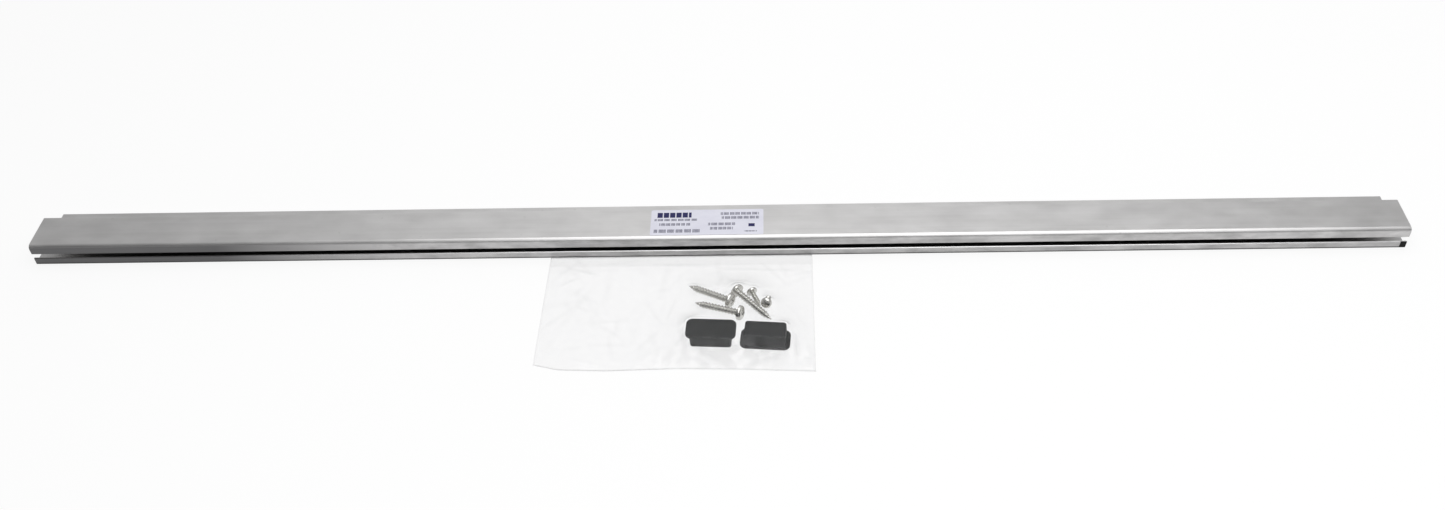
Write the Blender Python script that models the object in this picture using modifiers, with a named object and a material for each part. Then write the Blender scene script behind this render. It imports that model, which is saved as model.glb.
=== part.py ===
# Mounting rail of a strip curtain with its bag of fixings, at real size.
#
# The rail lies on its wall face: +X runs along it, +Z points up from the wall,
# and the slot that the curtain's strips slide into faces -Y. The origin is the
# middle of the wall face. A clear bag lies in front of the slot and holds two
# end caps, three long screws for the wall and two short ones for the caps.

import math

import bmesh
import bpy
from mathutils import Quaternion, Vector

MM = 0.001

# Gap kept between pieces that touch on the real object
CONTACT_GAP = 0.3 * MM
# How far a cutter runs past what it cuts
CUT_OVERRUN = 2.0 * MM
WELD_DISTANCE = 0.001 * MM
MERGE_LIMIT = 0.01 * MM

# Rail: a C-shaped channel with a flange along its upper edge on the wall
RAIL_LENGTH = 1219.2 * MM
CHANNEL_DEPTH = 38.7 * MM
CHANNEL_HEIGHT = 21.8 * MM
FLANGE_REACH = 27.9 * MM
RAIL_WALL = 1.5 * MM
LOWER_LIP = 7.2 * MM
SLOT_WIDTH = 5.0 * MM
FRONT_CORNER_RADIUS = 3.0 * MM
RAIL_EDGE_RADIUS = 0.5 * MM
CORNER_STEPS = 5
FIXING_HOLES = 3
FIXING_HOLE_DIAMETER = 7.0 * MM
FIXING_HOLE_INSET = 50.0 * MM
HOLE_SIDES = 32

# Label on the channel's top face
LABEL_WIDTH = 100.5 * MM
LABEL_DEPTH = 33.3 * MM
LABEL_THICKNESS = 0.2 * MM
LABEL_CORNER_RADIUS = 1.5 * MM
LABEL_OFFSET = -0.3 * MM
LABEL_SETBACK = 4.2 * MM

# End cap: a plate that covers the channel's end and a plug that fills it
CAP_OVERHANG = 1.6 * MM
CAP_PLATE_THICKNESS = 2.2 * MM
CAP_CORNER_RADIUS = 5.5 * MM
CAP_EDGE_RADIUS = 0.6 * MM
CAP_EDGE_STEPS = 2
PLUG_LENGTH = 11.6 * MM
PLUG_FIT = 0.1 * MM
PLUG_DRAFT = 0.5 * MM
PLUG_CORNER_RADIUS = 2.5 * MM
PLUG_TIP_RADIUS = 1.0 * MM

# Bag: two clear films, one on the ground and one over the fixings
BAG_WIDTH = 233.2 * MM
BAG_LEFT_DEPTH = 129.9 * MM
BAG_RIGHT_DEPTH = 137.1 * MM
BAG_LEAN = -0.9 * MM
BAG_OFFSET = -23.7 * MM
FILM_THICKNESS = 0.3 * MM
FILM_COLUMNS = 44
FILM_ROWS = 24
FILM_SAG = 0.4 * MM
FILM_SWEEPS = 120

# Caps in the bag: the first one's place from the bag's back left corner, as
# shares of the bag's width and depth, then the step to the next one
FIRST_CAP_SHARE = (0.6295, 0.7568)
CAP_SPACING = 3.2 * MM
CAP_STAGGER = -1.2 * MM
CAP_TURNS = (math.radians(-3.0), math.radians(-4.6))

# Screws: pan heads on coarse threads that run to a gimlet point
LONG_SCREW = {
    "length": 41.3 * MM,
    "head_diameter": 12.7 * MM,
    "head_height": 4.2 * MM,
    "thread_diameter": 6.3 * MM,
    "root_diameter": 4.5 * MM,
    "pitch": 3.0 * MM,
    "point_length": 8.0 * MM,
    "recess_span": 6.2 * MM,
    "recess_width": 1.4 * MM,
    "recess_depth": 2.2 * MM,
}
SHORT_SCREW = {
    "length": 15.9 * MM,
    "head_diameter": 9.4 * MM,
    "head_height": 3.2 * MM,
    "thread_diameter": 4.8 * MM,
    "root_diameter": 3.5 * MM,
    "pitch": 1.8 * MM,
    "point_length": 5.0 * MM,
    "recess_span": 5.0 * MM,
    "recess_width": 1.2 * MM,
    "recess_depth": 1.8 * MM,
}
HEAD_RIM_SHARE = 0.28
HEAD_STEPS = 6
HEAD_SIDES = 24
THREAD_SIDES = 12
ROWS_PER_TURN = 2
SHANK_ROOT_SHARE = 0.88
POINT_TIP_SHARE = 0.06
# Turn of the thread from the head's own edges, as a share of one side
THREAD_START_SHARE = 0.25
RECESS_TIP_SHARE = 0.7

# Screws in the bag, in the order in which they lie on each other. A head's
# place is from the first cap, in shares of the long screw's length; heading is
# where the point aims, seen from above, and dip is how far it aims down.
SCREWS_IN_BAG = [
    {"name": "long_screw_1", "kind": LONG_SCREW,
     "head_share": (0.346, 0.973), "heading": 148.7, "roll": 20.0},
    {"name": "long_screw_2", "kind": LONG_SCREW,
     "head_share": (0.552, 0.608), "heading": 157.2, "roll": 65.0},
    {"name": "short_screw_1", "kind": SHORT_SCREW,
     "head_share": (0.826, 1.230), "heading": -63.4, "roll": 10.0},
    {"name": "long_screw_3", "kind": LONG_SCREW,
     "head_share": (0.525, 1.211), "heading": -46.0, "roll": 40.0},
    {"name": "short_screw_2", "kind": SHORT_SCREW,
     "head_share": (1.119, 0.872), "heading": 80.0, "roll": 30.0, "dip": 24.0},
]
# Balls round the rim of a head, with which the screws are laid on each other
RING_BALLS = 24

CHANNEL_FRONT = -(CHANNEL_DEPTH + FLANGE_REACH) / 2
CHANNEL_BACK = CHANNEL_FRONT + CHANNEL_DEPTH
FLANGE_BACK = CHANNEL_BACK + FLANGE_REACH
CONTENTS_FLOOR = FILM_THICKNESS + CONTACT_GAP


# Start from an empty scene

for leftover in list(bpy.data.objects):
    bpy.data.objects.remove(leftover, do_unlink=True)

parts = bpy.data.collections.new("strip_curtain_rail_kit")
cutters = bpy.data.collections.new("cutters")
bpy.context.scene.collection.children.link(parts)
bpy.context.scene.collection.children.link(cutters)


# Materials

def make_material(name, colour, metallic, roughness, alpha=1.0):
    material = bpy.data.materials.new(name)
    material.use_nodes = True
    surface = material.node_tree.nodes["Principled BSDF"]
    surface.inputs["Base Color"].default_value = (*colour, 1.0)
    surface.inputs["Metallic"].default_value = metallic
    surface.inputs["Roughness"].default_value = roughness
    surface.inputs["Alpha"].default_value = alpha
    return material


ALUMINIUM = make_material("mill_aluminium", (0.62, 0.62, 0.61), 1.0, 0.38)
LABEL_PAPER = make_material("white_label", (0.90, 0.90, 0.93), 0.0, 0.50)
BLACK_PLASTIC = make_material("black_plastic", (0.055, 0.055, 0.055), 0.0, 0.48)
SCREW_STEEL = make_material("zinc_plated_steel", (0.72, 0.71, 0.67), 1.0, 0.28)
CLEAR_FILM = make_material("clear_film", (0.93, 0.93, 0.95), 0.0, 0.25, alpha=0.25)


# Helpers for objects

def link(name, data, collection):
    obj = bpy.data.objects.new(name, data)
    collection.objects.link(obj)
    return obj


def link_cutter(name, mesh):
    cutter = link(name, mesh, cutters)
    cutter.display_type = "WIRE"
    cutter.hide_render = True
    return cutter


def mesh_from(obj, name):
    """A plain welded mesh of an object as its modifiers leave it, facing outwards."""
    graph = bpy.context.evaluated_depsgraph_get()
    mesh = bpy.data.meshes.new_from_object(obj.evaluated_get(graph))
    mesh.name = name
    shape = bmesh.new()
    shape.from_mesh(mesh)
    bmesh.ops.remove_doubles(shape, verts=shape.verts, dist=WELD_DISTANCE)
    bmesh.ops.recalc_face_normals(shape, faces=shape.faces)
    if shape.calc_volume(signed=True) < 0:
        bmesh.ops.reverse_faces(shape, faces=shape.faces)
    shape.to_mesh(mesh)
    shape.free()
    return mesh


def add_boolean(obj, other, operation):
    step = obj.modifiers.new(other.name, "BOOLEAN")
    step.operation = operation
    step.solver = "EXACT"
    step.object = other


def finish(obj, material, smooth_angle=30.0):
    mesh = obj.data
    mesh.materials.clear()
    mesh.materials.append(material)
    mesh.shade_smooth()
    mesh.set_sharp_from_angle(angle=math.radians(smooth_angle))


def rounded_outline(corners):
    """Points of an outline of square corners, each turned by its own radius."""
    points = []
    for index, (across, up, radius) in enumerate(corners):
        corner = Vector((across, up))
        if radius == 0:
            points.append(corner)
            continue
        before = (Vector(corners[index - 1][:2]) - corner).normalized()
        after = (Vector(corners[(index + 1) % len(corners)][:2]) - corner).normalized()
        centre = corner + (before + after) * radius
        for step in range(CORNER_STEPS + 1):
            turn = math.pi / 2 * step / CORNER_STEPS
            points.append(centre - (after * math.cos(turn) + before * math.sin(turn)) * radius)
    return points


def rectangle(width, depth, radius):
    half_width = width / 2
    half_depth = depth / 2
    return rounded_outline([
        (-half_width, -half_depth, radius),
        (half_width, -half_depth, radius),
        (half_width, half_depth, radius),
        (-half_width, half_depth, radius),
    ])


def plate_mesh(name, outline, thickness, edge_radius=0.0):
    """A closed plate of a flat outline, centred on its own thickness."""
    curve = bpy.data.curves.new(name, "CURVE")
    curve.dimensions = "2D"
    curve.fill_mode = "BOTH"
    curve.extrude = thickness / 2 - edge_radius
    curve.bevel_depth = edge_radius
    curve.bevel_resolution = 1
    curve.offset = -edge_radius
    spline = curve.splines.new("POLY")
    spline.points.add(len(outline) - 1)
    for point, place in zip(spline.points, outline):
        point.co = (place[0], place[1], 0.0, 1.0)
    spline.use_cyclic_u = True
    guide = link(name + "_outline", curve, cutters)
    bpy.context.view_layer.update()
    mesh = mesh_from(guide, name)
    bpy.data.objects.remove(guide, do_unlink=True)
    return mesh


# Rail

def rail_outline():
    """The rail's section: across is the depth from the slot's face, up is Z."""
    front = CHANNEL_FRONT
    back = CHANNEL_BACK
    inner_front = front + RAIL_WALL
    inner_back = back - RAIL_WALL
    inner_top = CHANNEL_HEIGHT - RAIL_WALL
    slot_top = LOWER_LIP + SLOT_WIDTH
    edge = RAIL_EDGE_RADIUS
    inner_corner = max(FRONT_CORNER_RADIUS - RAIL_WALL, 0)
    return rounded_outline([
        (front, 0, edge),
        (FLANGE_BACK, 0, edge),
        (FLANGE_BACK, RAIL_WALL, edge),
        (back, RAIL_WALL, edge),
        (back, CHANNEL_HEIGHT, edge),
        (front, CHANNEL_HEIGHT, FRONT_CORNER_RADIUS),
        (front, slot_top, edge),
        (inner_front, slot_top, 0),
        (inner_front, inner_top, inner_corner),
        (inner_back, inner_top, 0),
        (inner_back, RAIL_WALL, 0),
        (inner_front, RAIL_WALL, 0),
        (inner_front, LOWER_LIP, 0),
        (front, LOWER_LIP, edge),
    ])


def build_rail():
    mesh = plate_mesh("header_rail", rail_outline(), RAIL_LENGTH)
    rail = link("header_rail", mesh, parts)
    # The section's own X, Y and Z become the rail's Y, Z and X
    rail.rotation_euler = (math.pi / 2, 0, math.pi / 2)
    first_hole = -RAIL_LENGTH / 2 + FIXING_HOLE_INSET
    spacing = (RAIL_LENGTH - 2 * FIXING_HOLE_INSET) / (FIXING_HOLES - 1)
    for index in range(FIXING_HOLES):
        bpy.ops.mesh.primitive_cylinder_add(
            vertices=HOLE_SIDES,
            radius=FIXING_HOLE_DIAMETER / 2,
            depth=RAIL_WALL + 2 * CUT_OVERRUN,
            location=(first_hole + index * spacing, (CHANNEL_BACK + FLANGE_BACK) / 2, RAIL_WALL / 2),
        )
        drill = bpy.context.object
        cutter = link_cutter(f"fixing_hole_{index + 1}", drill.data)
        cutter.location = drill.location
        bpy.data.objects.remove(drill, do_unlink=True)
        add_boolean(rail, cutter, "DIFFERENCE")
    finish(rail, ALUMINIUM)
    return rail


def build_label():
    outline = rectangle(LABEL_WIDTH, LABEL_DEPTH, LABEL_CORNER_RADIUS)
    label = link("rail_label", plate_mesh("rail_label", outline, LABEL_THICKNESS), parts)
    label.location = (
        LABEL_OFFSET,
        CHANNEL_FRONT + LABEL_SETBACK + LABEL_DEPTH / 2,
        CHANNEL_HEIGHT + CONTACT_GAP + LABEL_THICKNESS / 2,
    )
    finish(label, LABEL_PAPER)
    return label


# End caps

CAP_WIDTH = CHANNEL_DEPTH + 2 * CAP_OVERHANG
CAP_DEPTH = CHANNEL_HEIGHT
CAP_HEIGHT = CAP_PLATE_THICKNESS + PLUG_LENGTH


def plug_mesh():
    """The tapered plug, standing on the middle of its plate's thickness."""
    width = CHANNEL_DEPTH - 2 * RAIL_WALL - 2 * PLUG_FIT
    depth = CHANNEL_HEIGHT - 2 * RAIL_WALL - 2 * PLUG_FIT
    tip = PLUG_LENGTH + CAP_PLATE_THICKNESS / 2
    shape = bmesh.new()
    bmesh.ops.create_cube(shape, size=1)
    for vert in shape.verts:
        at_tip = vert.co.z > 0
        taper = 2 * PLUG_DRAFT if at_tip else 0
        vert.co.x *= width - taper
        vert.co.y *= depth - taper
        vert.co.z = tip if at_tip else 0
    uprights = [edge for edge in shape.edges if edge.verts[0].co.z != edge.verts[1].co.z]
    bmesh.ops.bevel(
        shape, geom=uprights, offset=PLUG_CORNER_RADIUS, segments=CORNER_STEPS,
        profile=0.5, affect="EDGES",
    )
    rim = [edge for edge in shape.edges if min(vert.co.z for vert in edge.verts) > tip - MERGE_LIMIT]
    bmesh.ops.bevel(
        shape, geom=rim, offset=PLUG_TIP_RADIUS, segments=CAP_EDGE_STEPS,
        profile=0.5, affect="EDGES",
    )
    mesh = bpy.data.meshes.new("plug")
    shape.to_mesh(mesh)
    shape.free()
    return mesh


def cap_mesh():
    """One cap, plate down, with its lowest point at zero height."""
    outline = rectangle(CAP_WIDTH, CAP_DEPTH, CAP_CORNER_RADIUS)
    plate = plate_mesh("end_cap", outline, CAP_PLATE_THICKNESS, CAP_EDGE_RADIUS)
    whole = link("cap_pattern", plate, cutters)
    plug = link_cutter("cap_plug", plug_mesh())
    add_boolean(whole, plug, "UNION")
    bpy.context.view_layer.update()
    mesh = mesh_from(whole, "end_cap")
    for vert in mesh.vertices:
        vert.co.z += CAP_PLATE_THICKNESS / 2
    bpy.data.objects.remove(whole, do_unlink=True)
    bpy.data.objects.remove(plug, do_unlink=True)
    return mesh


# Screws

def dome_profile(kind):
    """Half of a pan head, from the middle of its top down its outer side."""
    radius = kind["head_diameter"] / 2
    height = kind["head_height"]
    rim = height * HEAD_RIM_SHARE
    profile = []
    for step in range(HEAD_STEPS + 1):
        turn = math.pi / 2 * step / HEAD_STEPS
        profile.append((radius * math.sin(turn), rim + (height - rim) * math.cos(turn)))
    return profile + [(radius, 0), (0, 0)]


def turned_mesh(name, profile, sides):
    shape = bmesh.new()
    verts = [shape.verts.new((across, 0, up)) for across, up in profile]
    for first, second in zip(verts, verts[1:]):
        shape.edges.new((first, second))
    mesh = bpy.data.meshes.new(name)
    shape.to_mesh(mesh)
    shape.free()
    guide = link(name, mesh, cutters)
    turn = guide.modifiers.new("turn", "SCREW")
    turn.steps = sides
    turn.render_steps = sides
    turn.use_merge_vertices = True
    turn.merge_threshold = MERGE_LIMIT
    bpy.context.view_layer.update()
    turned = mesh_from(guide, name)
    bpy.data.objects.remove(guide, do_unlink=True)
    return turned


def point_share(kind, below_head):
    """How full the screw is at a distance below its head, from 1 to nearly 0."""
    left = kind["length"] - below_head
    return min(1, max(POINT_TIP_SHARE, left / kind["point_length"]))


def shank_mesh(kind):
    """The threaded shank: a band of rows that winds down as a right-hand helix."""
    top = kind["head_height"] * SHANK_ROOT_SHARE
    row_drop = kind["pitch"] / ROWS_PER_TURN
    threaded_from = kind["head_height"] / 2
    rows = int((kind["length"] + top - kind["pitch"]) / row_drop)
    shape = bmesh.new()

    def row_vert(side, row):
        angle = -2 * math.pi * (side + THREAD_START_SHARE) / THREAD_SIDES
        up = top - row_drop * row - kind["pitch"] * side / THREAD_SIDES
        crest = row % ROWS_PER_TURN == 0 and -up > threaded_from
        diameter = kind["thread_diameter"] if crest else kind["root_diameter"]
        radius = diameter / 2 * point_share(kind, -up)
        return shape.verts.new((radius * math.cos(angle), radius * math.sin(angle), up))

    grid = [[row_vert(side, row) for row in range(rows + 1)] for side in range(THREAD_SIDES)]
    # The first side runs on for one more turn, where the last side joins it
    grid[0] += [row_vert(0, rows + 1 + extra) for extra in range(ROWS_PER_TURN)]

    def at(side, row):
        if side == THREAD_SIDES:
            return grid[0][row + ROWS_PER_TURN]
        return grid[side][row]

    for side in range(THREAD_SIDES):
        for row in range(rows):
            shape.faces.new((at(side, row), at(side, row + 1), at(side + 1, row + 1), at(side + 1, row)))
    for row, up in ((0, top), (rows, -kind["length"])):
        centre = shape.verts.new((0, 0, up))
        loop = [at(side, row) for side in range(THREAD_SIDES)]
        loop += [grid[0][row + ROWS_PER_TURN - extra] for extra in range(ROWS_PER_TURN)]
        for first, second in zip(loop, loop[1:] + loop[:1]):
            shape.faces.new((first, second, centre))
    bmesh.ops.recalc_face_normals(shape, faces=shape.faces)
    mesh = bpy.data.meshes.new("shank")
    shape.to_mesh(mesh)
    shape.free()
    return mesh


def cross_outline(kind):
    long_half = kind["recess_span"] / 2
    root_half = kind["recess_width"] / 2
    tip_half = root_half * RECESS_TIP_SHARE
    quarter = [(long_half, -tip_half), (long_half, tip_half), (root_half, root_half)]
    points = []
    for turn in range(4):
        for across, up in quarter:
            for _ in range(turn):
                across, up = -up, across
            points.append((across, up))
    return points


def screw_mesh(name, kind):
    """One screw: head above the origin, shank below it along -Z."""
    whole = link(name + "_pattern", turned_mesh(name, dome_profile(kind), HEAD_SIDES), cutters)
    shank = link_cutter(name + "_shank", shank_mesh(kind))
    cut_depth = kind["recess_depth"] + CUT_OVERRUN
    recess = link_cutter(name + "_recess", plate_mesh("recess", cross_outline(kind), cut_depth))
    recess.location.z = kind["head_height"] - kind["recess_depth"] + cut_depth / 2
    add_boolean(whole, shank, "UNION")
    add_boolean(whole, recess, "DIFFERENCE")
    bpy.context.view_layer.update()
    mesh = mesh_from(whole, name)
    for used in (whole, shank, recess):
        bpy.data.objects.remove(used, do_unlink=True)
    return mesh


def rest_dip(kind):
    """How far a screw's point dips when its head's rim lies on the ground."""
    rise = (kind["head_diameter"] - kind["thread_diameter"]) / 2
    return math.atan2(rise, kind["length"] - kind["point_length"])


def screw_axes(screw):
    heading = math.radians(screw["heading"])
    dip = math.radians(screw["dip"]) if "dip" in screw else rest_dip(screw["kind"])
    aim = Vector((
        math.cos(dip) * math.cos(heading),
        math.cos(dip) * math.sin(heading),
        -math.sin(dip),
    ))
    side = Vector((-math.sin(heading), math.cos(heading), 0))
    return aim, side, aim.cross(side)


def screw_balls(screw):
    """Balls that together fill a screw's outline, around its head's underside."""
    kind = screw["kind"]
    aim, side, upward = screw_axes(screw)
    head_radius = kind["head_diameter"] / 2
    rim = kind["head_height"] * HEAD_RIM_SHARE / 2
    thick = kind["head_height"] / 2
    balls = []
    for step in range(RING_BALLS):
        turn = 2 * math.pi * step / RING_BALLS - math.pi / 2
        outward = side * math.cos(turn) + upward * math.sin(turn)
        balls.append((outward * (head_radius - rim) - aim * rim, rim))
        balls.append((outward * (head_radius - thick) - aim * thick, thick))
    balls.append((-aim * thick, thick))
    radius = kind["thread_diameter"] / 2
    count = math.ceil(kind["length"] / radius * 2)
    for step in range(count + 1):
        below = kind["length"] * step / count
        balls.append((aim * below, radius * point_share(kind, below)))
    return balls


def settle(place, balls, laid):
    """The least height at which the balls clear the ground and what is laid."""
    height = max(CONTENTS_FLOOR - offset.z + radius for offset, radius in balls)
    for offset, radius in balls:
        for centre, other in laid:
            reach = radius + other + CONTACT_GAP
            across = (Vector(place) + offset.xy - centre.xy).length
            if across < reach:
                lift = math.sqrt(reach * reach - across * across)
                height = max(height, centre.z + lift - offset.z)
    return height


# Bag

BAG_LEFT = BAG_OFFSET - BAG_WIDTH / 2
BAG_BACK = -CONTACT_GAP


def bag_place(across, down):
    """A place on the bag from shares of its width and depth, in its own frame."""
    depth = BAG_LEFT_DEPTH + (BAG_RIGHT_DEPTH - BAG_LEFT_DEPTH) * across
    return Vector((BAG_LEFT + BAG_WIDTH * across + BAG_LEAN * down, BAG_BACK - depth * down))


def cap_covers(cap_place, turn, point, reach):
    """Whether a point lies over a cap, or within reach of it."""
    across = point - cap_place
    along = abs(across.x * math.cos(turn) + across.y * math.sin(turn))
    down = abs(across.y * math.cos(turn) - across.x * math.sin(turn))
    return along < CAP_WIDTH / 2 + reach and down < CAP_DEPTH / 2 + reach


def upper_film_mesh(cap_places, laid):
    """The upper film's underside: a slack sheet laid over caps and screws."""
    deepest = max(BAG_LEFT_DEPTH, BAG_RIGHT_DEPTH)
    reach = math.hypot(BAG_WIDTH / FILM_COLUMNS, deepest / FILM_ROWS)
    shape = bmesh.new()
    bmesh.ops.create_grid(shape, x_segments=FILM_COLUMNS, y_segments=FILM_ROWS, size=1)
    low = {}
    for vert in shape.verts:
        place = bag_place((vert.co.x + 1) / 2, (1 - vert.co.y) / 2)
        lowest = CONTENTS_FLOOR
        for cap_place, turn in cap_places:
            if cap_covers(cap_place, turn, place, reach):
                lowest = max(lowest, CONTENTS_FLOOR + CAP_HEIGHT + CONTACT_GAP)
        for centre, radius in laid:
            if (centre.xy - place).length < radius + reach:
                lowest = max(lowest, centre.z + radius + CONTACT_GAP)
        vert.co = (place.x, place.y, lowest)
        low[vert] = lowest
    inside = [vert for vert in shape.verts if not vert.is_boundary]
    for _ in range(FILM_SWEEPS):
        for vert in inside:
            around = [edge.other_vert(vert).co.z for edge in vert.link_edges]
            vert.co.z = max(low[vert], sum(around) / len(around) - FILM_SAG)
    mesh = bpy.data.meshes.new("bag_upper_film")
    shape.to_mesh(mesh)
    shape.free()
    return mesh


# Build the pack of fixings in the frame of its sliding axis, at the rail's front

def build_pack():
    slide = link("pack_slide", None, parts)
    slide.location = (0, CHANNEL_FRONT, 0)
    pieces = []

    outline = [bag_place(*corner) for corner in ((0, 1), (1, 1), (1, 0), (0, 0))]
    lower = link("bag_lower_film", plate_mesh("bag_lower_film", outline, FILM_THICKNESS), parts)
    lower.location.z = FILM_THICKNESS / 2
    finish(lower, CLEAR_FILM)
    pieces.append(lower)

    pattern = cap_mesh()
    first_cap = bag_place(*FIRST_CAP_SHARE)
    step = Vector((CAP_WIDTH + CAP_SPACING, CAP_STAGGER))
    cap_places = []
    for index, turn in enumerate(CAP_TURNS):
        cap = link(f"end_cap_{index + 1}", pattern, parts)
        place = first_cap + step * index
        if index == 0:
            # This one lies on its plug, plate up
            cap.rotation_euler = (math.pi, 0, turn)
            cap.location = (*place, CONTENTS_FLOOR + CAP_HEIGHT)
        else:
            cap.rotation_euler = (0, 0, turn)
            cap.location = (*place, CONTENTS_FLOOR)
        finish(cap, BLACK_PLASTIC)
        pieces.append(cap)
        cap_places.append((place, turn))

    patterns = {
        "long": screw_mesh("long_screw", LONG_SCREW),
        "short": screw_mesh("short_screw", SHORT_SCREW),
    }
    laid = []
    for screw in SCREWS_IN_BAG:
        mesh = patterns["long" if screw["kind"] is LONG_SCREW else "short"]
        piece = link(screw["name"], mesh, parts)
        aim = screw_axes(screw)[0]
        place = first_cap + Vector(screw["head_share"]) * LONG_SCREW["length"]
        balls = screw_balls(screw)
        height = settle(place, balls, laid)
        head = Vector((*place, height))
        laid += [(head + offset, radius) for offset, radius in balls]
        piece.location = head
        roll = Quaternion((0, 0, 1), math.radians(screw["roll"]))
        piece.rotation_mode = "QUATERNION"
        piece.rotation_quaternion = (-aim).to_track_quat("Z", "Y") @ roll
        finish(piece, SCREW_STEEL, smooth_angle=45.0)
        pieces.append(piece)

    upper = link("bag_upper_film", upper_film_mesh(cap_places, laid), parts)
    wall = upper.modifiers.new("film", "SOLIDIFY")
    wall.thickness = FILM_THICKNESS
    wall.offset = 1
    finish(upper, CLEAR_FILM)
    pieces.append(upper)

    for piece in pieces:
        piece.parent = slide


build_rail()
build_label()
build_pack()
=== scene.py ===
# %% [markdown]
# # A strip curtain's header rail and its bag of fixings
# The strips of a strip curtain hang from an aluminium rail over the doorway. This
# lesson dresses the bare model of that rail: the extrusion itself, the label stuck on
# it, and the clear bag that comes with it, with two end caps and five screws inside.
# The bare model says where each piece is and how large. Each step here makes one
# piece or one finish, and each piece prints where it lies.

# %% Load the bare model
import math
from functools import reduce

import bpy
import numpy as np
from mathutils import Matrix, Quaternion, Vector, noise
from mathutils.bvhtree import BVHTree
from numpy.lib.stride_tricks import sliding_window_view


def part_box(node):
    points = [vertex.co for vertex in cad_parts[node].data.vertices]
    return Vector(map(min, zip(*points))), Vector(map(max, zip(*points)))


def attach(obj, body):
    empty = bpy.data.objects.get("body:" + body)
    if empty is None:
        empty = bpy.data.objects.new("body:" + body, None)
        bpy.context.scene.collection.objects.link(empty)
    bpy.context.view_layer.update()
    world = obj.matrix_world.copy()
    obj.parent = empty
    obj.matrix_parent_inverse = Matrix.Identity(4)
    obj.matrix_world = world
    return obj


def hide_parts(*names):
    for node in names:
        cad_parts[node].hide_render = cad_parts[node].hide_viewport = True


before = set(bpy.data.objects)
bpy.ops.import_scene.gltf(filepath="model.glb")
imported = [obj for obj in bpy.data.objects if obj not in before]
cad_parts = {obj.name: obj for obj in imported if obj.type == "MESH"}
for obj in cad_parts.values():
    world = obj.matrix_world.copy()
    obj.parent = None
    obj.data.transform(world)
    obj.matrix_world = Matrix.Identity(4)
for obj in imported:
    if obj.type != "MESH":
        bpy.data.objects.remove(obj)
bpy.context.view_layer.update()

MM = 0.001
WELD = 0.001 * MM


def new_object(name, data):
    obj = bpy.data.objects.new(name, data)
    bpy.context.scene.collection.objects.link(obj)
    return obj


# %% [markdown]
# ## The camera
# The photograph looks down on the rail at a little over forty degrees from almost a
# metre in front. The focal length is in pixels of the photograph, as it was measured.

# %% Camera
PHOTO_WIDTH = 1445
FOCAL_PIXELS = 1355.9
SENSOR_WIDTH = 36.0
CAMERA_PLACE = (58.94 * MM, -907.05 * MM, 831.3 * MM)
CAMERA_PITCH = 0.75921
CAMERA_HEADING = 0.05233
CAMERA_ROLL = -0.04833

camera_data = bpy.data.cameras.new("photo_camera")
camera_data.sensor_width = SENSOR_WIDTH
camera_data.lens = FOCAL_PIXELS * SENSOR_WIDTH / PHOTO_WIDTH
camera = new_object("photo_camera", camera_data)
camera.matrix_world = (
    Matrix.Translation(CAMERA_PLACE)
    @ Matrix.Rotation(CAMERA_HEADING, 4, "Z")
    @ Matrix.Rotation(math.pi / 2 - CAMERA_PITCH, 4, "X")
    @ Matrix.Rotation(CAMERA_ROLL, 4, "Z")
)
bpy.context.scene.camera = camera
bpy.context.scene.view_settings.view_transform = "Standard"
print("lens, mm:", round(camera_data.lens, 2))


# %% [markdown]
# ## Nodes and wires
# Every material and every shape rule below is a tree of nodes. `add_node` makes one
# node and fills its sockets, each with a value or with a wire from another node. A
# `Wire` is what leaves a node. Sums are written with wires as they are with numbers,
# and each sign in a sum becomes one Math node.

# %% Wires
def math_method(operation):
    """A method that makes one Math node from a wire and what stands after it."""
    return lambda wire, *others: calculate(operation, wire, *others)


class Wire:
    """What leaves one output of a node. A sum with wires in it makes Math nodes."""

    def __init__(self, socket):
        self.socket = socket
        self.tree = socket.id_data

    def __rsub__(self, number):
        return calculate("SUBTRACT", number, self)

    def __rtruediv__(self, number):
        return calculate("DIVIDE", number, self)

    __add__ = math_method("ADD")
    __sub__ = math_method("SUBTRACT")
    __mul__ = math_method("MULTIPLY")
    __truediv__ = math_method("DIVIDE")
    __pow__ = math_method("POWER")
    __abs__ = math_method("ABSOLUTE")
    __lt__ = math_method("LESS_THAN")
    __gt__ = math_method("GREATER_THAN")
    at_least = math_method("MAXIMUM")
    at_most = math_method("MINIMUM")


# %% Nodes
def fill_sockets(node, sockets):
    """Gives each socket its value, its wire, or the list of wires that meet in it."""
    for key, given in sockets.items():
        for value in given if isinstance(given, list) else [given]:
            if isinstance(value, Wire):
                node.id_data.links.new(value.socket, node.inputs[key])
            else:
                node.inputs[key].default_value = value


def add_node(tree, kind, sockets=None, **settings):
    node = tree.nodes.new(kind)
    for name, value in settings.items():
        setattr(node, name, value)
    fill_sockets(node, sockets or {})
    return node


def wires(node):
    """The wires that leave a node, by name."""
    return {socket.name: Wire(socket) for socket in node.outputs}


def wire(tree, kind, sockets=None, output=0, **settings):
    """Adds a node and gives the wire that leaves one of its outputs."""
    return Wire(add_node(tree, kind, sockets, **settings).outputs[output])


# %% Sums and vectors
def calculate(operation, *values, clamp=False):
    """One Math node. At least one of the values is a wire."""
    tree = next(value.tree for value in values if isinstance(value, Wire))
    return wire(tree, "ShaderNodeMath", dict(enumerate(values)), operation=operation, use_clamp=clamp)


def between(value, low, high):
    """1 where a value lies between two bounds, and 0 elsewhere."""
    return calculate("COMPARE", value, (low + high) / 2, (high - low) / 2)


def spread(value, low, high, to_low=0.0, to_high=1.0):
    """A value stretched from one range to another, held at its ends."""
    sockets = {"Value": value, "From Min": low, "From Max": high, "To Min": to_low, "To Max": to_high}
    return wire(value.tree, "ShaderNodeMapRange", sockets)


def parts(vector):
    """The X, Y and Z of a vector."""
    return wires(add_node(vector.tree, "ShaderNodeSeparateXYZ", {0: vector}))


def combine(tree, **sides):
    """A vector from its X, Y and Z. Those left out are 0."""
    return wire(tree, "ShaderNodeCombineXYZ", sides)


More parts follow.
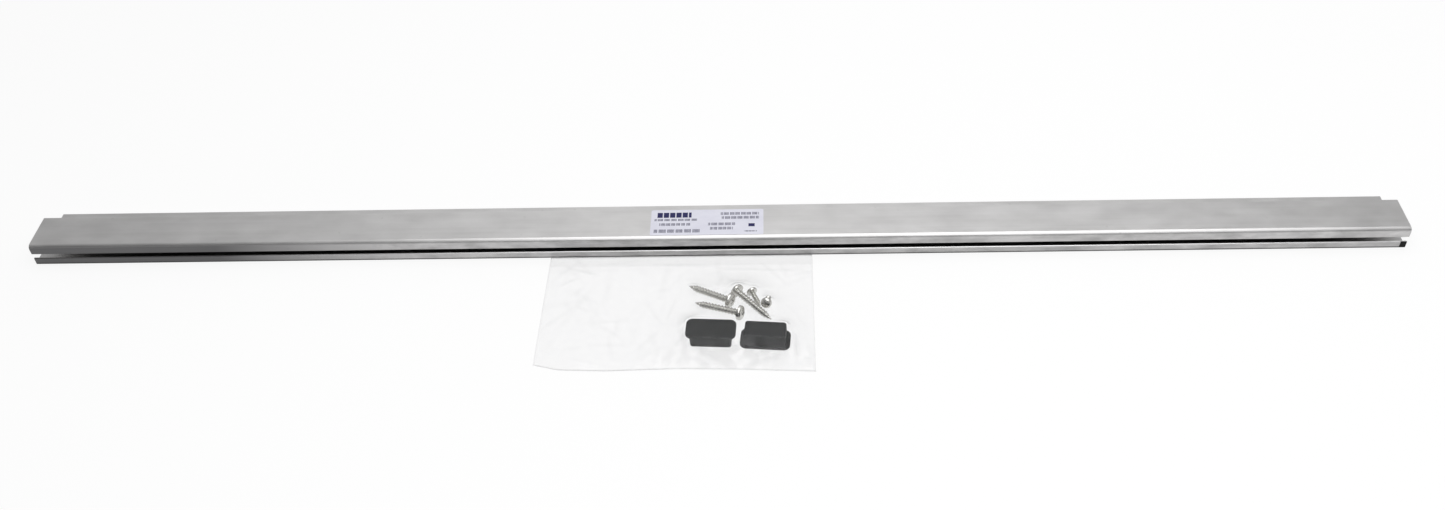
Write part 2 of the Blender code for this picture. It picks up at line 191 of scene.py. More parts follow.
# %% Node groups
def new_group(name, kind, inputs, output):
    """A node group from the name and type of each input and of its one output."""
    tree = bpy.data.node_groups.new(name, kind)
    for socket, word in inputs.items():
        tree.interface.new_socket(name=socket, in_out="INPUT", socket_type="NodeSocket" + word)
    tree.interface.new_socket(name=output[0], in_out="OUTPUT", socket_type="NodeSocket" + output[1])
    return tree, wires(tree.nodes.new("NodeGroupInput")), tree.nodes.new("NodeGroupOutput")


# %% [markdown]
# ## Floor, sky and lamp
# The rail lies on white paper under one wide panel, which its front corner and the
# screws' upper sides mirror in full. Behind the rail the sky is brightest in the
# middle, which gives the flat top its slow change of tone, and on the camera's side it
# is darker, so that round things get a dark side. The camera sees little of the soft
# shadow on the paper, and metal sees more of it.

# %% Floor
FLOOR_SIZE = 12.0
FLOOR_DROP = 0.1 * MM
PAPER_WHITE = (0.97, 0.97, 0.97, 1.0)
SHADOW_SHARE = 0.14
MIRRORED_SHADE_SHARE = 0.55


def make_paper():
    material = bpy.data.materials.new("white_paper")
    material.use_nodes = True
    tree = material.node_tree
    tree.nodes.clear()
    rays = wires(tree.nodes.new("ShaderNodeLightPath"))
    seen = rays["Is Camera Ray"].at_least(rays["Is Transmission Ray"]) * (1 - SHADOW_SHARE)
    glow = seen.at_least(rays["Is Glossy Ray"] * (1 - MIRRORED_SHADE_SHARE))
    paper = wire(tree, "ShaderNodeBsdfDiffuse", {"Color": PAPER_WHITE})
    white = wire(tree, "ShaderNodeEmission", {"Strength": 1.0})
    mix = wire(tree, "ShaderNodeMixShader", {0: glow, 1: paper, 2: white})
    add_node(tree, "ShaderNodeOutputMaterial", {"Surface": mix})
    return material


def make_floor():
    half = FLOOR_SIZE / 2
    mesh = bpy.data.meshes.new("floor")
    mesh.from_pydata([(-half, -half, 0), (half, -half, 0), (half, half, 0), (-half, half, 0)], [], [range(4)])
    mesh.materials.append(make_paper())
    floor = new_object("floor", mesh)
    floor.location.z = -FLOOR_DROP


make_floor()

# %% Sky and lamp
SKY_HORIZON = 0.85
SKY_BEHIND_MIDDLE = 0.84
SKY_BEHIND_SIDES = 0.43
SKY_IN_FRONT = 0.22
SKY_MIDDLE = -0.02
SKY_SIDE_FADE = (0.10, 0.46)
SKY_FRONT_FADE = (-0.35, 0.25)
SKY_HEIGHT_FADE = (0.10, 0.40)
PANEL_PLACE = (0.32, -0.45, 1.35)
PANEL_SIZE = (1.6, 2.6)
PANEL_POWER = 20.0


def make_sky():
    world = bpy.data.worlds.new("studio")
    world.use_nodes = True
    tree = world.node_tree
    tree.nodes.clear()
    aim = parts(wires(tree.nodes.new("ShaderNodeTexCoord"))["Generated"])
    behind = spread(abs(aim["X"] - SKY_MIDDLE), *SKY_SIDE_FADE, SKY_BEHIND_MIDDLE, SKY_BEHIND_SIDES)
    above = spread(aim["Y"], *SKY_FRONT_FADE, SKY_IN_FRONT, behind)
    level = spread(aim["Z"], *SKY_HEIGHT_FADE, SKY_HORIZON, above)
    background = wire(tree, "ShaderNodeBackground", {"Color": (1, 1, 1, 1), "Strength": level})
    add_node(tree, "ShaderNodeOutputWorld", {"Surface": background})
    bpy.context.scene.world = world


def make_panel():
    lamp = bpy.data.lights.new("overhead_panel", "AREA")
    lamp.shape = "RECTANGLE"
    lamp.size, lamp.size_y = PANEL_SIZE
    lamp.energy = PANEL_POWER
    panel = new_object("overhead_panel", lamp)
    panel.location = PANEL_PLACE
    panel.visible_camera = False


make_sky()
make_panel()

# %% [markdown]
# ## Surface effects shared by the finishes
# No real surface is one flat colour. Two small effects serve all the finishes here.
# Drawn grain is noise that can be stretched along X: drawn far it gives the long lines
# that a die leaves, and undrawn it gives slow cloudy changes of tone. Specks are the
# scattered dust and pits that show up close. Each is a node group with its sizes as
# inputs, and gives out a mask between 0 and 1.

# %% Grain and specks
def make_grain_group():
    """Noise drawn out along X: Size is its width, and Draw how many times longer it is."""
    inputs = {"Vector": "Vector", "Size": "Float", "Draw": "Float"}
    tree, given, result = new_group("drawn_grain", "ShaderNodeTree", inputs, ("Mask", "Float"))
    scale = combine(tree, X=1.0 / given["Draw"], Y=1.0, Z=1.0)
    place = wire(tree, "ShaderNodeVectorMath", {0: given["Vector"], 1: scale}, operation="MULTIPLY")
    grain = wire(tree, "ShaderNodeTexNoise", {
        "Vector": place, "Scale": 1.0 / given["Size"], "Detail": 3.0, "Roughness": 0.6,
    })
    fill_sockets(result, {"Mask": spread(grain, 0.25, 0.75)})
    return tree


def make_speck_group():
    """Small round marks scattered over the surface, about one in Share of the cells."""
    inputs = {"Vector": "Vector", "Spacing": "Float", "Share": "Float"}
    tree, given, result = new_group("specks", "ShaderNodeTree", inputs, ("Mask", "Float"))
    density = 1.0 / given["Spacing"]
    cells = wires(add_node(tree, "ShaderNodeTexVoronoi", {"Vector": given["Vector"], "Scale": density}))
    chosen = parts(cells["Color"])["X"] < given["Share"]
    fill_sockets(result, {"Mask": spread(cells["Distance"], 0.12, 0.3, 1.0, 0.0) * chosen})
    return tree


GRAIN = make_grain_group()
SPECKS = make_speck_group()


# %% Finishes
class Finish:
    """A material in the making: its tree, its Principled shader and its place vector."""

    def __init__(self, name, **constants):
        self.material = bpy.data.materials.new(name)
        self.material.use_nodes = True
        self.tree = self.material.node_tree
        self.surface = self.tree.nodes["Principled BSDF"]
        self.place = wires(self.tree.nodes.new("ShaderNodeTexCoord"))["Object"]
        self.connect(**constants)

    def effect(self, group, **sizes):
        """The mask of a shared effect, with this finish's own sizes."""
        return wire(self.tree, "ShaderNodeGroup", {"Vector": self.place, **sizes}, node_tree=group)

    def grain(self, size, draw=1.0):
        return self.effect(GRAIN, Size=size, Draw=draw)

    def specks(self, spacing, share):
        return self.effect(SPECKS, Spacing=spacing, Share=share)

    def mark(self, name):
        """A value that a piece's mesh carries at its points."""
        return wire(self.tree, "ShaderNodeAttribute", output="Fac", attribute_name=name)

    def blend(self, mask, first, second):
        """A colour that goes from first to second as the mask rises."""
        sockets = {0: mask}
        for socket, colour in ((6, first), (7, second)):
            sockets[socket] = colour if isinstance(colour, Wire) else (*colour, 1.0)
        return wire(self.tree, "ShaderNodeMix", sockets, output=2, data_type="RGBA")

    def paint(self, tone, *coats):
        """A tone under coats of other colours, each laid on where its mask says."""
        for mask, colour in coats:
            tone = self.blend(mask, tone, colour)
        return tone

    def bump(self, height, depth):
        sockets = {"Height": height, "Distance": depth, "Strength": 1.0}
        return wire(self.tree, "ShaderNodeBump", sockets)

    def connect(self, **values):
        fill_sockets(self.surface, {name.replace("_", " "): value for name, value in values.items()})


# %% [markdown]
# ## Turning rules into meshes
# A piece that follows a rule is made by Geometry Nodes, with its sizes as named inputs.
# When the shape is right, the object as its modifiers leave it becomes a plain mesh.

# %% Helpers for rules
def shape(tree, kind, sockets=None, **settings):
    """The wire that leaves a new Geometry node."""
    return wire(tree, "GeometryNode" + kind, sockets, **settings)


def end_rule(tree, result, mesh, material):
    """The last steps of every rule: its instances are made real and it gets its material."""
    real = shape(tree, "RealizeInstances", {0: mesh})
    painted = shape(tree, "SetMaterial", {"Geometry": real, "Material": material})
    fill_sockets(result, {"Geometry": painted})
    return tree


def settle_modifiers(obj):
    """Replaces an object's mesh with what its modifiers make, and drops them."""
    graph = bpy.context.evaluated_depsgraph_get()
    mesh = bpy.data.meshes.new_from_object(obj.evaluated_get(graph))
    obj.modifiers.clear()
    obj.data = mesh


def add_rule(obj, tree, **values):
    """Gives an object a Geometry Nodes rule with these inputs."""
    rule = obj.modifiers.new(tree.name, "NODES")
    rule.node_group = tree
    for item in tree.interface.items_tree:
        key = item.name.lower().replace(" ", "_")
        if item.in_out == "INPUT" and key in values:
            rule[item.identifier] = values[key]


# %% Helpers for meshes
def shade(mesh, sharp_angle):
    mesh.shade_smooth()
    mesh.set_sharp_from_angle(angle=math.radians(sharp_angle))


def flatten_shading(obj):
    """Keeps wide flat faces looking flat where they run into a rounded edge."""
    weight = obj.modifiers.new("flat_faces", "WEIGHTED_NORMAL")
    weight.keep_sharp = True
    settle_modifiers(obj)


def store_mark(mesh, name, values):
    """Writes one value on each point of a mesh, for a finish or a rule to read."""
    mesh.attributes.new(name, "FLOAT", "POINT").data.foreach_set("value", np.ravel(values).astype(np.float32))


def place_piece(obj, body, node):
    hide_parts(node)
    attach(obj, body)
    places = np.array([vert.co for vert in obj.data.vertices]) / MM
    low, high = places.min(0).round(1), places.max(0).round(1)
    print(obj.name, "from", low, "to", high, "mm,", len(obj.data.polygons), "faces")


# %% [markdown]
# ## The rail's sizes
# The rail's length, reach and height are the bare model's. Its box doesn't tell the
# wall, the slot and the lips, so they are given here. Two corners are rounder than a
# drawing would have them, because their highlights in the photograph are that broad.

# %% Rail sizes
rail_low, rail_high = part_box("header_rail")
RAIL_WALL = 1.5 * MM
LOWER_LIP = 7.2 * MM
SLOT_WIDTH = 5.0 * MM
CHANNEL_DEPTH = 38.7 * MM
# The radius of each kind of corner
FRONT_CORNER = 4.0 * MM
OUTER_EDGE = 0.5 * MM
INNER_EDGE = 0.3 * MM
LIP_EDGE = 1.2 * MM
CORNER_STEPS = 8
HOLE_COUNT = 3
HOLE_DIAMETER = 7.0 * MM
HOLE_INSET = 50.0 * MM
HOLE_SIDES = 48
DEBURRED_EDGE = 0.22 * MM
DRILL_OVERRUN = 2.0 * MM
# How near the rail's end an edge has to be to count as sawn
SAWN_REACH = 0.01 * MM

CHANNEL_FRONT = rail_low.y
CHANNEL_BACK = CHANNEL_FRONT + CHANNEL_DEPTH
CHANNEL_TOP = rail_high.z
print("channel, mm:", round(CHANNEL_DEPTH / MM, 1), "deep and", round(CHANNEL_TOP / MM, 1), "high")

# %% [markdown]
# ## Mill aluminium
# The rail is used as it leaves the press: bright but not polished, with long faint
# lines from the die, cloudy patches where it was handled, and a few fine pits. Dark
# reflections are painted on its front lips: soft patches, and darker towards the left
# end. A highlight is painted along the slot's lower edge, a shade along the bottom edge,
# and there is a dab of black at the right end. The inside of the channel is painted in
# shade, which fades towards the open ends. Each of these is a mask from the place on the
# rail.

# %% Mill aluminium
MILL_TONES = ((0.545, 0.54, 0.535), (0.655, 0.65, 0.645))
BAND_TONE = (0.70, 0.69, 0.70)
PIT_TONE = (0.40, 0.40, 0.39)
# Painted dark reflection on the front lips
LIP_REFLECTION_TONE = (0.06, 0.06, 0.063)
# Painted highlight along the slot's lower edge
SLOT_HIGHLIGHT_TONE = (0.95, 0.95, 0.95)
# Painted shade along the bottom edge of the front
BOTTOM_SHADE_TONE = (0.06, 0.06, 0.06)
# Painted shade inside the channel
HOLLOW_SHADE_TONE = (0.05, 0.05, 0.05)
DAB_TONE = (0.02, 0.02, 0.02)
LIP_DEPTH = (0.2 * MM, 1.4 * MM)
BOTTOM_SHADE_HEIGHT = (1.0 * MM, 2.0 * MM)
SLOT_HIGHLIGHT_BAND = (LOWER_LIP - 0.9 * MM, LOWER_LIP - 0.5 * MM)
SLOT_HIGHLIGHT_TOP = LOWER_LIP + 0.1 * MM
DAB_TOP = LOWER_LIP - 0.2 * MM
# Where the painted dark reflection on the lips grows along X, from none to full
DARK_REFLECTION_STRETCH = (-0.24, -0.44)
DAB = (0.6040, 0.6110)
HOLLOW_SHADE_FADE = (0.55, 0.60)
HOLLOW_INSET = 1.3 * MM
HOLLOW_DEPTH = 35.0 * MM


def make_mill_aluminium():
    finish = Finish("mill_aluminium", Metallic=1.0)
    place = parts(finish.place)
    lines = finish.grain(0.7 * MM, 260.0)
    bands = finish.grain(4.0 * MM, 60.0)
    clouds = finish.grain(20.0 * MM, 2.0)
    # Soft patches of painted dark reflection on the front lips
    patches = finish.grain(9.0 * MM, 2.5)
    pits = finish.specks(5.0 * MM, 0.03)
    behind_front = place["Y"] - CHANNEL_FRONT
    lip = spread(behind_front, *LIP_DEPTH, 1.0, 0.0)
    # Painted dark reflection on the front lips, growing towards the left end
    left_dark_reflection = spread(place["X"], *DARK_REFLECTION_STRETCH)
    painted_lip_reflection = (patches * 0.45).at_least(left_dark_reflection * 0.86) * lip
    # Painted highlight on the lower lip's top edge, left out where the lip is painted dark towards the left
    slot_edge = spread(place["Z"], *SLOT_HIGHLIGHT_BAND) * (place["Z"] < SLOT_HIGHLIGHT_TOP)
    painted_slot_highlight = slot_edge * (1 - left_dark_reflection) * (behind_front < HOLLOW_INSET)
    # Painted shade along the bottom edge of the front lip
    painted_bottom_shade = spread(place["Z"], *BOTTOM_SHADE_HEIGHT, 0.9, 0.0) * lip
    # Painted shade inside the channel, lighter near the open ends
    inside = between(behind_front, HOLLOW_INSET, HOLLOW_INSET + HOLLOW_DEPTH)
    inside = inside * ((place["Z"] < CHANNEL_TOP - HOLLOW_INSET) * (place["Z"] > HOLLOW_INSET))
    painted_hollow_shade = inside * spread(abs(place["X"]), *HOLLOW_SHADE_FADE, 0.75, 0.1)
    dab = between(place["X"], *DAB) * (place["Z"] < DAB_TOP) * lip
    finish.connect(
        Base_Color=finish.paint(
            finish.blend(clouds, *MILL_TONES), (bands * 0.45, BAND_TONE), (pits * 0.2, PIT_TONE),
            (painted_lip_reflection, LIP_REFLECTION_TONE), (painted_slot_highlight, SLOT_HIGHLIGHT_TONE), (painted_bottom_shade, BOTTOM_SHADE_TONE), (painted_hollow_shade, HOLLOW_SHADE_TONE),
            (dab, DAB_TONE),
        ),
        Roughness=spread(clouds, 0.0, 1.0, 0.28, 0.36) + lines * 0.05,
        Normal=finish.bump(lines, 0.012 * MM),
    )
    return finish.material


MILL_ALUMINIUM = make_mill_aluminium()

# %% [markdown]
# ## The rail
# An extrusion has one section all along, so its rule is short: round the corners of the
# section, each by its own radius, fill it, pull it out to the rail's length, and drill
# the flange. Edges that a saw or drill has left are marked for a fine bevel, which
# catches the light as a deburred edge does.

# %% The rail's section
def rail_corners():
    """The section's corners as (depth, height, radius), anticlockwise from the slot side."""
    inner_front = CHANNEL_FRONT + RAIL_WALL
    inner_back = CHANNEL_BACK - RAIL_WALL
    inner_top = CHANNEL_TOP - RAIL_WALL
    slot_top = LOWER_LIP + SLOT_WIDTH
    return [
        (CHANNEL_FRONT, 0, OUTER_EDGE),
        (rail_high.y, 0, OUTER_EDGE),
        (rail_high.y, RAIL_WALL, OUTER_EDGE),
        (CHANNEL_BACK, RAIL_WALL, OUTER_EDGE),
        (CHANNEL_BACK, CHANNEL_TOP, OUTER_EDGE),
        (CHANNEL_FRONT, CHANNEL_TOP, FRONT_CORNER),
        (CHANNEL_FRONT, slot_top, OUTER_EDGE),
        (inner_front, slot_top, INNER_EDGE),
        (inner_front, inner_top, FRONT_CORNER - RAIL_WALL),
        (inner_back, inner_top, INNER_EDGE),
        (inner_back, RAIL_WALL, INNER_EDGE),
        (inner_front, RAIL_WALL, INNER_EDGE),
        (inner_front, LOWER_LIP, INNER_EDGE),
        (CHANNEL_FRONT, LOWER_LIP, LIP_EDGE),
    ]


# %% Rule for an extruded, drilled section
def bar_nodes(tree, given):
    """The section with its corners rounded, pulled out to its length and laid along X."""
    radius = shape(tree, "InputNamedAttribute", {"Name": "corner_radius"}, data_type="FLOAT")
    outline = shape(tree, "MeshToCurve", {"Mesh": given["Section"]})
    rounded = shape(tree, "FilletCurve", {
        "Curve": outline, "Radius": radius, "Count": given["Corner Steps"],
    }, mode="POLY")
    face = shape(tree, "FillCurve", {"Curve": rounded}, mode="NGONS")
    sides = shape(tree, "ExtrudeMesh", {
        "Mesh": face, "Offset": combine(tree, Z=given["Length"]), "Offset Scale": 1.0, "Individual": False,
    })
    near_end = shape(tree, "FlipFaces", {"Mesh": face})
    bar = shape(tree, "JoinGeometry", {0: [sides, near_end]})
    closed = shape(tree, "MergeByDistance", {"Geometry": bar, "Distance": WELD})
    return shape(tree, "Transform", {
        "Geometry": closed, "Translation": combine(tree, X=given["Length"] * -0.5),
        "Rotation": (math.pi / 2, 0, math.pi / 2),
    })


def drill_nodes(tree, given):
    """A row of drills through the flange, evenly spaced between the two outer ones."""
    first = given["Length"] * -0.5 + given["Hole Inset"]
    start = combine(tree, X=first, Y=given["Hole Place"], Z=given["Hole Depth"] / 2)
    step = first * -2 / (given["Hole Count"] - 1)
    centres = shape(tree, "MeshLine", {
        "Count": given["Hole Count"], "Start Location": start, "Offset": combine(tree, X=step),
    })
    drill = shape(tree, "MeshCylinder", {
        "Vertices": HOLE_SIDES, "Radius": given["Hole Diameter"] / 2,
        "Depth": given["Hole Depth"] + 2 * DRILL_OVERRUN,
    })
    drills = shape(tree, "InstanceOnPoints", {"Points": centres, "Instance": drill})
    return shape(tree, "RealizeInstances", {0: drills})


def make_extrusion_rule():
    tree, given, result = new_group("extruded_section", "GeometryNodeTree", {
        "Section": "Geometry", "Length": "Float", "Corner Steps": "Int", "Hole Diameter": "Float",
        "Hole Count": "Int", "Hole Inset": "Float", "Hole Depth": "Float", "Hole Place": "Float",
    }, ("Geometry", "Geometry"))
    drilled = wires(add_node(tree, "GeometryNodeMeshBoolean", {
        "Mesh 1": bar_nodes(tree, given), "Mesh 2": drill_nodes(tree, given),
    }, operation="DIFFERENCE", solver="EXACT"))
    along = parts(shape(tree, "InputPosition"))["X"]
    sawn = abs(along) - given["Length"] * 0.5 > -SAWN_REACH
    marked = shape(tree, "StoreNamedAttribute", {
        "Geometry": drilled["Mesh"], "Name": "bevel_weight_edge",
        "Value": sawn.at_least(drilled["Intersecting Edges"]),
    }, data_type="FLOAT", domain="EDGE")
    return end_rule(tree, result, marked, MILL_ALUMINIUM)


EXTRUSION_RULE = make_extrusion_rule()


# %% Rail
def make_rail():
    corners = rail_corners()
    section = bpy.data.meshes.new("rail_section")
    ring = [(index, (index + 1) % len(corners)) for index in range(len(corners))]
    section.from_pydata([(depth, height, 0) for depth, height, radius in corners], ring, [])
    store_mark(section, "corner_radius", [radius for depth, height, radius in corners])
    rail = new_object("rail_extrusion", section)
    add_rule(
        rail, EXTRUSION_RULE, length=rail_high.x - rail_low.x, corner_steps=CORNER_STEPS,
        hole_diameter=HOLE_DIAMETER, hole_count=HOLE_COUNT, hole_inset=HOLE_INSET,
        hole_depth=RAIL_WALL, hole_place=(CHANNEL_BACK + rail_high.y) / 2,
    )
    deburr = rail.modifiers.new("deburred_edges", "BEVEL")
    deburr.limit_method = "WEIGHT"
    deburr.width = DEBURRED_EDGE
    deburr.segments = 2
    deburr.use_clamp_overlap = False
    settle_modifiers(rail)
    shade(rail.data, sharp_angle=32.0)
    flatten_shading(rail)
    place_piece(rail, "rail", "header_rail")


make_rail()

# %% [markdown]
# ## Plates with round corners
# The label and the end caps are plates with round corners and softened edges. Both are
# a stack of rings, each a rectangle with round corners, joined one to the next. Every
# ring has the same number of points, so the walls between them are clean four-sided
# faces, and a taper or a rounded edge is only a change of size from ring to ring.

# %% Rings
CORNER_POINTS = 8
EDGE_RINGS = 4
LEAST_CORNER_RADIUS = 0.1 * MM


def rounded_ring(width, depth, radius, height):
    """Points round a rectangle with round corners, anticlockwise seen from above."""
    points = []
    for quarter, (side_x, side_y) in enumerate(((1, 1), (-1, 1), (-1, -1), (1, -1))):
        for step in range(CORNER_POINTS + 1):
            turn = math.pi / 2 * (quarter + step / CORNER_POINTS)
            points.append((
                side_x * (width / 2 - radius) + radius * math.cos(turn),
                side_y * (depth / 2 - radius) + radius * math.sin(turn),
                height,
            ))
    return points


def quarter_turns():
    """The sine and cosine of the angles from 0 to 90 degrees, one for each ring of an edge."""
    turns = [math.pi / 2 * step / EDGE_RINGS for step in range(EDGE_RINGS + 1)]
    return [(math.sin(turn), math.cos(turn)) for turn in turns]


def rounded_rings(width, depth, radius, edge, height, rising):
    """Rings that round an edge over, outwards while rising or inwards at the top."""
    rings = []
    for sine, cosine in quarter_turns():
        if rising:
            inset, up = edge * (1 - sine), edge * (1 - cosine)
        else:
            inset, up = edge * (1 - cosine), -edge * (1 - sine)
        corner = max(radius - inset, LEAST_CORNER_RADIUS)
        rings.append(rounded_ring(width - 2 * inset, depth - 2 * inset, corner, height + up))
    return rings


# %% Plates from rings
def stack_mesh(name, rings):
    """A closed body through rings that are given from the bottom up."""
    index = np.arange(len(rings) * len(rings[0])).reshape(len(rings), -1)
    following = np.roll(index, -1, axis=1)
    walls = np.dstack([index[:-1], following[:-1], following[1:], index[1:]]).reshape(-1, 4)
    mesh = bpy.data.meshes.new(name)
    mesh.from_pydata(sum(rings, []), [], [*walls.tolist(), index[0][::-1].tolist(), index[-1].tolist()])
    return mesh


def make_plate(name, rings, place, material):
    """An object from a stack of rings, moved to its place, with its flat faces kept flat."""
    mesh = stack_mesh(name, rings)
    mesh.transform(place)
    mesh.materials.append(material)
    shade(mesh, sharp_angle=30.0)
    plate = new_object(name, mesh)
    flatten_shading(plate)
    return plate


# %% [markdown]
# ## The label
# A thin white sticker with a bluish tint lies on the rail. Its print is only bars and
# broken lines in dark blue and grey, which have the weight of a printed label from a
# step away and say nothing. Each bar is a mask made from the distance to its middle.

# %% Label finish
PAPER_TONES = ((0.67, 0.67, 0.76), (0.74, 0.74, 0.82))
LABEL_BLUE = (0.012, 0.012, 0.085)
LABEL_GREY = (0.12, 0.12, 0.17)
# Bars as shares of the label's width and depth: middle, then size, then the step from
# word to word where there is one
SOLID_BAR_SHARES = [
    (0.205, 0.79, 0.31, 0.20, 0.056),
    (0.895, 0.37, 0.055, 0.12),
]
BROKEN_BAR_SHARES = [
    (0.22, 0.60, 0.38, 0.085, 0.060),
    (0.215, 0.42, 0.28, 0.10, 0.045),
    (0.235, 0.16, 0.41, 0.13, 0.075),
    (0.79, 0.83, 0.34, 0.105, 0.050),
    (0.795, 0.67, 0.33, 0.105, 0.055),
    (0.63, 0.42, 0.24, 0.105, 0.060),
    (0.63, 0.25, 0.20, 0.105, 0.040),
    (0.885, 0.13, 0.11, 0.05, 0.030),
]
# How much of its step a word fills, and the step and fill of the strokes in a broken bar
WORD_FILL_SHARE = 0.84
STROKE_STEP_SHARE = 0.011
STROKE_FILL_SHARE = 0.7


def dashes(across, step, fill):
    return calculate("FRACT", across / step) < fill


def bar_mask(across, up, bar):
    """White inside a bar. Across and up run from 0 to 1 over the label."""
    middle_x, middle_y, width, height, *word_step = bar
    inside = (abs(across - middle_x) < width / 2) * (abs(up - middle_y) < height / 2)
    for step in word_step:
        inside = inside * dashes(across, step, WORD_FILL_SHARE)
    return inside


def all_bars(across, up, bars):
    return reduce(Wire.at_least, [bar_mask(across, up, bar) for bar in bars])


def make_label_stock(low, high):
    finish = Finish("label_stock", Metallic=0.0, Specular_IOR_Level=0.3)
    place = parts(finish.place)
    across = spread(place["X"], low.x, high.x)
    up = spread(place["Y"], low.y, high.y)
    solid = all_bars(across, up, SOLID_BAR_SHARES)
    strokes = dashes(across, STROKE_STEP_SHARE, STROKE_FILL_SHARE)
    broken = all_bars(across, up, BROKEN_BAR_SHARES) * strokes
    wear = finish.grain(9.0 * MM, 2.0)
    finish.connect(
        Base_Color=finish.paint(
            finish.blend(wear, *PAPER_TONES), (broken, LABEL_GREY), (solid, LABEL_BLUE),
        ),
        Roughness=spread(wear, 0.0, 1.0, 0.38, 0.5),
        Normal=finish.bump(finish.grain(0.35 * MM), 0.004 * MM),
    )
    return finish.material


# %% Label
LABEL_CORNER_RADIUS = 1.5 * MM
LABEL_THICKNESS = 0.10 * MM
GLUE = 0.03 * MM


def make_label():
    low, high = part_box("rail_label")
    outline = (high.x - low.x, high.y - low.y, LABEL_CORNER_RADIUS)
    bottom = CHANNEL_TOP + GLUE
    rings = [rounded_ring(*outline, bottom)]
    rings += rounded_rings(*outline, LABEL_THICKNESS / 2, bottom + LABEL_THICKNESS, False)
    place = Matrix.Translation(((low.x + high.x) / 2, (low.y + high.y) / 2, 0))
    label = make_plate("sticker", rings, place, make_label_stock(low, high))
    place_piece(label, "rail", "rail_label")


make_label()

# %% [markdown]
# ## The end caps
# An end cap is a plate that covers the cut end of the channel and a tapered plug that
# grips inside it. It is moulded in black plastic: satin, a little rough, with a soft
# edge everywhere, because a mould has no sharp corners.

# %% Black plastic
PLASTIC_TONES = ((0.009, 0.010, 0.011), (0.017, 0.018, 0.017))
DUST_TONE = (0.14, 0.14, 0.13)


def make_black_plastic():
    finish = Finish("black_plastic", Metallic=0.0, Specular_IOR_Level=0.3)
    flow = finish.grain(6.0 * MM, 3.0)
    dust = finish.specks(1.6 * MM, 0.10)
    finish.connect(
        Base_Color=finish.paint(finish.blend(flow, *PLASTIC_TONES), (dust * 0.12, DUST_TONE)),
        Roughness=spread(flow, 0.0, 1.0, 0.36, 0.50),
        Normal=finish.bump(finish.grain(0.45 * MM), 0.003 * MM),
    )
    return finish.material


BLACK_PLASTIC = make_black_plastic()

# %% Caps
PLATE_THICKNESS = 2.2 * MM
PLATE_CORNER_RADIUS = 5.5 * MM
PLATE_EDGE = 0.6 * MM
PLATE_WIDTH = 41.9 * MM
PLATE_DEPTH = 21.8 * MM
PLUG_FIT = 0.1 * MM
PLUG_WIDTH = CHANNEL_DEPTH - 2 * (RAIL_WALL + PLUG_FIT)
PLUG_DEPTH = PLATE_DEPTH - 2 * (RAIL_WALL + PLUG_FIT)
PLUG_DRAFT = 0.5 * MM
PLUG_CORNER_RADIUS = 2.5 * MM
PLUG_TIP_EDGE = 1.0 * MM
PLUG_FILLET = 0.5 * MM
FIRST_CAP_TURN = math.radians(-3.0)
SECOND_CAP_TURN = math.radians(-4.6)


def cap_rings(height):
    """Rings of a cap that stands on its plate, plug up."""
    plate = (PLATE_WIDTH, PLATE_DEPTH, PLATE_CORNER_RADIUS, PLATE_EDGE)
    rings = rounded_rings(*plate, 0.0, True)
    rings += rounded_rings(*plate, PLATE_THICKNESS, False)
    for sine, cosine in quarter_turns():
        flare = 2 * PLUG_FILLET * (1 - sine)
        foot = PLATE_THICKNESS + PLUG_FILLET * (1 - cosine)
        rings.append(rounded_ring(PLUG_WIDTH + flare, PLUG_DEPTH + flare, PLUG_CORNER_RADIUS, foot))
    tip = (PLUG_WIDTH - 2 * PLUG_DRAFT, PLUG_DEPTH - 2 * PLUG_DRAFT, PLUG_CORNER_RADIUS, PLUG_TIP_EDGE)
    return rings + rounded_rings(*tip, height, False)


def make_cap(name, node, turn, plate_up):
    low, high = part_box(node)
    height = high.z - low.z
    centre = (low + high) / 2
    place = Matrix.Translation((centre.x, centre.y, low.z)) @ Matrix.Rotation(turn, 4, "Z")
    if plate_up:
        place = place @ Matrix.Translation((0, 0, height)) @ Matrix.Rotation(math.pi, 4, "X")
    cap = make_plate(name, cap_rings(height), place, BLACK_PLASTIC)
    place_piece(cap, "fixings_pack", node)
    return cap


caps = [
    make_cap("cap_on_its_plug", "end_cap_1", FIRST_CAP_TURN, plate_up=True),
    make_cap("cap_on_its_plate", "end_cap_2", SECOND_CAP_TURN, plate_up=False),
]

# %% [markdown]
# ## The screws
# A screw is the plainest case of a shape that follows a rule. One strip of faces, as
# wide as the pitch, winds down the shank, and its edge meets the edge of the turn
# before, so welding the two makes a closed helical skin. The radius swells at that
# edge into the crest of the thread and shrinks towards the point. The head is a
# turned profile, and a tapered cross is cut out of it. All five screws share the rule
# with their own sizes. The zinc is bright on the crests, and shade is painted darker
# into the grooves, so each point of the mesh carries how deep in a groove it lies.

# %% Bright zinc
ZINC_TONES = ((0.60, 0.595, 0.56), (0.82, 0.81, 0.78))
# Painted shade in the thread's grooves
GROOVE_SHADE_TONE = (0.10, 0.10, 0.09)
GROOVE_SHADE_STRENGTH = 0.3


def make_bright_zinc():
    finish = Finish("bright_zinc", Metallic=1.0)
    haze = finish.grain(1.8 * MM)
    # Painted shade, deeper in the grooves of the thread
    groove = finish.mark("in_groove") * GROOVE_SHADE_STRENGTH
    finish.connect(
        Base_Color=finish.paint(finish.blend(haze, *ZINC_TONES), (groove, GROOVE_SHADE_TONE)),
        Roughness=spread(haze, 0.0, 1.0, 0.14, 0.24),
        Normal=finish.bump(finish.grain(0.25 * MM, 6.0), 0.004 * MM),
    )
    return finish.material


BRIGHT_ZINC = make_bright_zinc()

